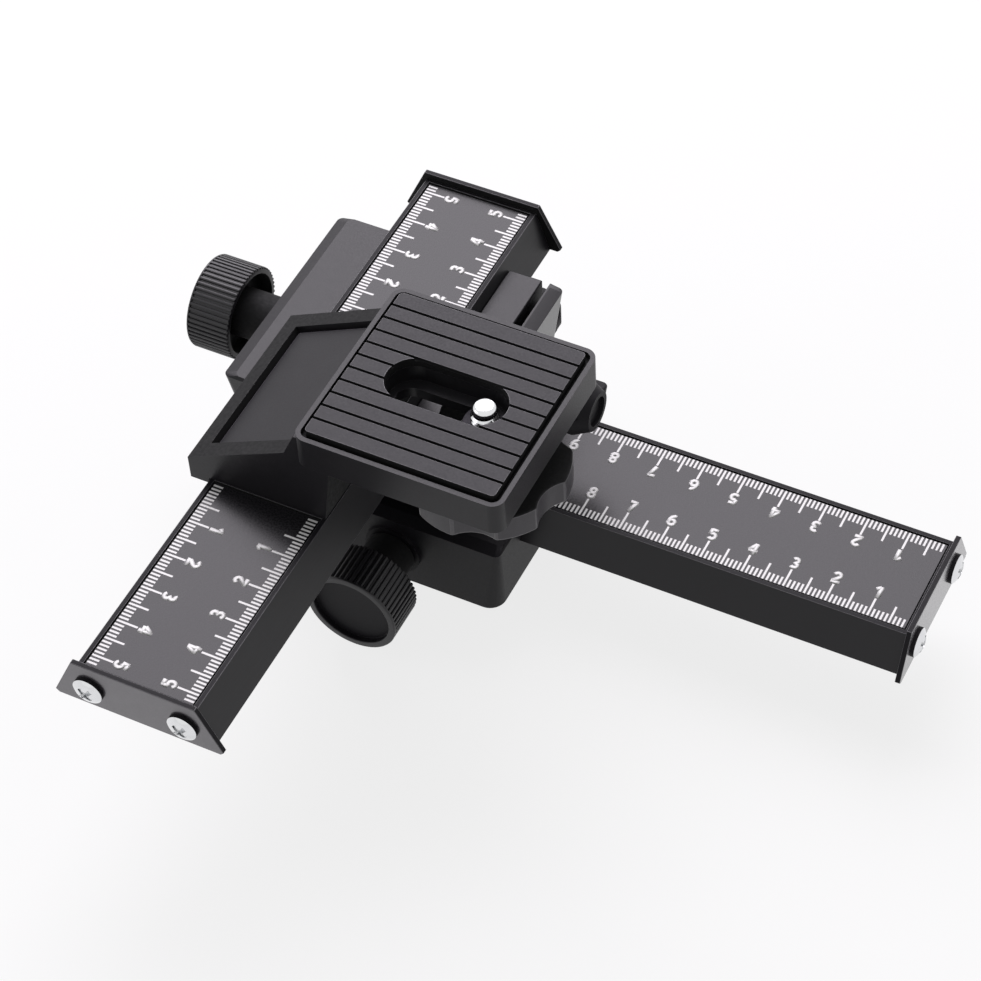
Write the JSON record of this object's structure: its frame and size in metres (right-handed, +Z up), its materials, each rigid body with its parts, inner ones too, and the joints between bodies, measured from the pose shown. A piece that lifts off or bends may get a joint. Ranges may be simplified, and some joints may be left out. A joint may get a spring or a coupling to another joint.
{
  "type": "two-axis macro focusing rail",
  "caption": "Two crossed dovetail focusing rails with rack and pinion knobs, lock knobs, centimetre scales and a raised camera platform with a captive screw.",
  "frame": {"origin": "centre of the mouth of the tripod socket, in the middle of the base's underside, which is the plane z = 0", "axes": "+X along the lower rail towards its long free end, +Y along the upper rail away from the camera platform's end, +Z up to the camera"},
  "size_m": [0.1851, 0.169, 0.0843],
  "materials": {
    "carriage_metal": "satin black",
    "platform_metal": "satin black",
    "gib_metal": "satin black",
    "brass": "machined",
    "steel": "machined",
    "knob_plastic": "satin black",
    "rail_metal": "satin black anodised",
    "scale_plate": "satin black with white print",
    "end_plate_metal": "satin black",
    "chrome": "polished",
    "pad_rubber": "matt black, grooved",
    "panel_metal": "satin black"
  },
  "bodies": {
    "base": {"base_carriage": "carriage_metal", "tripod_insert": "brass", "base_gib": "gib_metal", "base_bushes": "brass"},
    "lower_knob": {"lower_shaft": "steel", "lower_pinion": "brass", "lower_focus_knob": "knob_plastic", "lower_knob_disc": "knob_plastic", "lower_set_screw": "steel"},
    "lower_lock": {"lower_lock_screw": "steel", "lower_lock_knob": "knob_plastic"},
    "lower_slide": {"lower_rail": "rail_metal", "lower_rack": "steel", "lower_scale": "scale_plate", "lower_end_plate_left": "end_plate_metal", "lower_end_plate_right": "end_plate_metal", "lower_end_screws": "chrome", "upper_carriage": "carriage_metal", "upper_carriage_screws": "steel", "upper_gib": "gib_metal", "upper_bushes": "brass"},
    "upper_knob": {"upper_shaft": "steel", "upper_pinion": "brass", "upper_focus_knob": "knob_plastic", "upper_knob_disc": "knob_plastic", "upper_set_screw": "steel"},
    "upper_lock": {"upper_lock_screw": "steel", "upper_lock_knob": "knob_plastic"},
    "upper_slide": {"upper_rail": "rail_metal", "upper_rack": "steel", "upper_scale_front": "scale_plate", "upper_scale_back": "scale_plate", "upper_end_plate_front": "end_plate_metal", "upper_end_plate_back": "end_plate_metal", "upper_end_screws": "chrome", "camera_platform": "platform_metal", "platform_screws": "steel", "rubber_pad": "pad_rubber", "front_panel": "panel_metal"},
    "screw_guide": {"screw_washer": "knob_plastic"},
    "screw_lift": {"screw_clip": "steel"},
    "camera_screw": {"camera_screw": "chrome", "thumb_wheel": "knob_plastic"}
  },
  "joints": [
    {"name": "lower_slide", "type": "slide", "parent": "base", "child": "lower_slide", "axis": [1, 0, 0], "range_m": [-0.0919, 0.0105]},
    {"name": "lower_focus", "type": "hinge", "parent": "base", "child": "lower_knob", "pos_m": [0, -0.04, 0.01452], "axis": [0, 1, 0], "range_deg": [-1105, 135]},
    {"name": "lower_lock", "type": "hinge", "parent": "base", "child": "lower_lock", "pos_m": [0, 0.04, 0.0211], "axis": [0, 1, 0], "range_deg": [-30, 360]},
    {"name": "upper_slide", "type": "slide", "parent": "lower_slide", "child": "upper_slide", "axis": [0, 1, 0], "range_m": [-0.0158, 0.0866]},
    {"name": "upper_focus", "type": "hinge", "parent": "lower_slide", "child": "upper_knob", "pos_m": [-0.05166, 0, 0.04362], "axis": [1, 0, 0], "range_deg": [-1040, 195]},
    {"name": "upper_lock", "type": "hinge", "parent": "lower_slide", "child": "upper_lock", "pos_m": [0.02834, 0, 0.0502], "axis": [1, 0, 0], "range_deg": [-30, 360]},
    {"name": "screw_guide", "type": "slide", "parent": "upper_slide", "child": "screw_guide", "axis": [1, 0, 0], "range_m": [-0.0075, 0]},
    {"name": "screw_lift", "type": "slide", "parent": "screw_guide", "child": "screw_lift", "axis": [0, 0, 1], "range_m": [0, 0.004]},
    {"name": "camera_screw", "type": "hinge", "parent": "screw_lift", "child": "camera_screw", "pos_m": [0.03044, -0.0354, 0.065], "axis": [0, 0, 1], "continuous": true}
  ],
  "couplings": [
    {"joint": "lower_focus", "follows": "lower_slide", "rad_per_m": 208.33},
    {"joint": "upper_focus", "follows": "upper_slide", "rad_per_m": -208.33}
  ]
}
